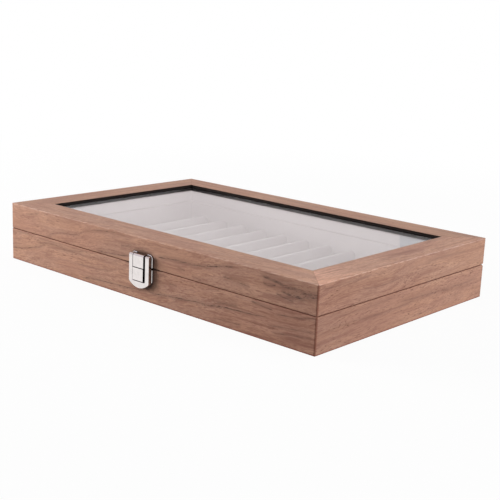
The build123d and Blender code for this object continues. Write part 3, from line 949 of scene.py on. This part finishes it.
# Light of the studio. The front lamp rakes along the front from the left, the underside lamp
# reaches only the underside, and only the backdrop lamp shows in reflections. Each lamp has
# its place, target, width, height, power and colour. The floor fades to white in millimetres.
WHITE = (1.0, 1.0, 1.0, 1.0)
AMBIENT = (0.25, 0.25, 0.25, 1.0)
SURROUNDINGS = (0.73, 0.69, 0.735, 1.0)
FLOOR_GLOW = 0.95
FLOOR_GAP = 0.0001
FLOOR_REACH = 12.0
FLOOR_LAP = 0.001
FLOOR_SHADOW_TO = 350.0
FLOOR_WHITE_FROM = 900.0
FLOOR_AS_SEEN = (0.9, 0.9, 0.9, 1.0)
FLOOR_AS_LIGHT = (0.35, 0.35, 0.35, 1.0)
LAMPS = (
    ("front_left_lamp", (-1.2, -0.65, 0.26), (0, 0, 0), 0.8, 0.5, 28.0, (1.0, 0.975, 0.965)),
    ("right_lamp", (1.5, 0.45, 0.32), (0, 0, 0), 1.2, 0.6, 18.5, (1.0, 0.985, 0.995)),
    ("overhead_lamp", (0.1, 0.35, 1.3), (0, 0, 0), 0.9, 0.9, 3.4, (0.94, 1.0, 1.0)),
    ("backdrop_lamp", (-2.7, 2.1, 0.85), (0, 0, 0.1), 2.70, 1.5, 3.0, (1.0, 0.70, 0.60)),
    ("underside_lamp", (0.2, -0.2, -1.2), (0, 0, 0), 0.9, 0.9, 16.0, (1.0, 1.0, 1.0)),
)
REFLECTED_LAMP = "backdrop_lamp"

# Camera: solved from the straight edges of the box, with the optical centre in the middle.
CAMERA_PLACE = (0.54675, -0.60658, 0.22238)
CAMERA_TARGET = (0.03259, -0.02350, 0.03356)
CAMERA_ROLL = math.radians(2.47)
CAMERA_LENS = 71.35
SENSOR_WIDTH = 36.0


def floor_mesh():
    """A flat sheet with an opening a little smaller than the box's underside."""
    mesh = bpy.data.meshes.new("studio_floor")
    opening = (HALF_WIDTH * MM - FLOOR_LAP, HALF_DEPTH * MM - FLOOR_LAP)
    turns = ((-1, -1), (1, -1), (1, 1), (-1, 1))
    corners = [(FLOOR_REACH * x, FLOOR_REACH * y, -FLOOR_GAP) for x, y in turns]
    corners += [(opening[0] * x, opening[1] * y, -FLOOR_GAP) for x, y in turns]
    around = [(side, (side + 1) % 4, (side + 1) % 4 + 4, side + 4) for side in range(4)]
    mesh.from_pydata(corners, [], around)
    return mesh


def floor_paper():
    """Paper that shows white, keeps a soft shadow near the box and is clear from below."""
    g = Graph("studio_white")
    paper = g.node("ShaderNodeBsdfDiffuse")
    glow = g.node("ShaderNodeEmission")
    glow.inputs["Color"].default_value = WHITE
    path = g.node("ShaderNodeLightPath")
    seen = g.math("MAXIMUM", path.outputs["Is Camera Ray"], path.outputs["Is Glossy Ray"])
    seen = g.math("MAXIMUM", seen, path.outputs["Is Transmission Ray"])
    g.feed(paper.inputs["Color"], g.mix(seen, FLOOR_AS_LIGHT, FLOOR_AS_SEEN))
    x, y, z = g.place()
    away = g.math("SQRT", g.add(g.times(x, x), g.times(y, y)))
    far = g.fade(away, FLOOR_WHITE_FROM, FLOOR_SHADOW_TO)
    glow_share = g.add(FLOOR_GLOW, g.times(far, 1.0 - FLOOR_GLOW))
    from_above = g.node("ShaderNodeMixShader")
    g.feed(from_above.inputs[0], g.times(seen, glow_share))
    g.feed(from_above.inputs[1], paper.outputs[0])
    g.feed(from_above.inputs[2], glow.outputs[0])
    clear = g.node("ShaderNodeBsdfTransparent")
    sides = g.node("ShaderNodeNewGeometry")
    either = g.node("ShaderNodeMixShader")
    g.feed(either.inputs[0], sides.outputs["Backfacing"])
    g.feed(either.inputs[1], from_above.outputs[0])
    g.feed(either.inputs[2], clear.outputs[0])
    g.feed(g.output.inputs["Surface"], either.outputs[0])
    return g.material


def make_floor():
    """A wide white floor, open under the box so that the underside shows from below."""
    mesh = floor_mesh()
    mesh.materials.append(floor_paper())
    floor = bpy.data.objects.new("studio_floor", mesh)
    bpy.context.scene.collection.objects.link(floor)


def make_world():
    """White where it is seen, also through glass, pale in reflections, and low as light."""
    world = bpy.data.worlds.new("studio")
    bpy.context.scene.world = world
    world.use_nodes = True
    tree = world.node_tree
    tree.nodes.clear()
    path = tree.nodes.new("ShaderNodeLightPath")
    colour = AMBIENT
    for seen_by, seen_colour in (
        ("Is Glossy Ray", SURROUNDINGS), ("Is Transmission Ray", WHITE), ("Is Camera Ray", WHITE),
    ):
        choice = tree.nodes.new("ShaderNodeMix")
        choice.data_type = "RGBA"
        tree.links.new(path.outputs[seen_by], choice.inputs[0])
        if isinstance(colour, bpy.types.NodeSocket):
            tree.links.new(colour, choice.inputs[6])
        else:
            choice.inputs[6].default_value = colour
        choice.inputs[7].default_value = seen_colour
        colour = choice.outputs[2]
    background = tree.nodes.new("ShaderNodeBackground")
    tree.links.new(colour, background.inputs["Color"])
    background.inputs["Strength"].default_value = 1.0
    output = tree.nodes.new("ShaderNodeOutputWorld")
    tree.links.new(background.outputs[0], output.inputs["Surface"])


def make_lamp(name, place, target, width, height, power, colour):
    """A soft oblong lamp that faces a target."""
    light = bpy.data.lights.new(name, "AREA")
    light.shape = "RECTANGLE"
    light.size = width
    light.size_y = height
    light.energy = power
    light.color = colour
    lamp = bpy.data.objects.new(name, light)
    lamp.location = place
    facing = Vector(target) - Vector(place)
    lamp.rotation_mode = "QUATERNION"
    lamp.rotation_quaternion = facing.to_track_quat("-Z", "Y")
    lamp.visible_glossy = name == REFLECTED_LAMP
    lamp.visible_transmission = name == REFLECTED_LAMP
    bpy.context.scene.collection.objects.link(lamp)


def make_camera():
    """A camera at the photo's viewing angle."""
    data = bpy.data.cameras.new("camera")
    data.sensor_width = SENSOR_WIDTH
    data.sensor_fit = "HORIZONTAL"
    data.lens = CAMERA_LENS
    data.clip_start = 0.01
    data.clip_end = 100.0
    camera = bpy.data.objects.new("camera", data)
    camera.location = CAMERA_PLACE
    facing = (Vector(CAMERA_TARGET) - Vector(CAMERA_PLACE)).to_track_quat("-Z", "Y")
    camera.rotation_mode = "QUATERNION"
    camera.rotation_quaternion = facing @ Quaternion((0.0, 0.0, 1.0), CAMERA_ROLL)
    bpy.context.scene.collection.objects.link(camera)
    bpy.context.scene.camera = camera


make_camera()
make_floor()
make_world()
for settings in LAMPS:
    make_lamp(*settings)
bpy.context.scene.view_settings.view_transform = "Standard"
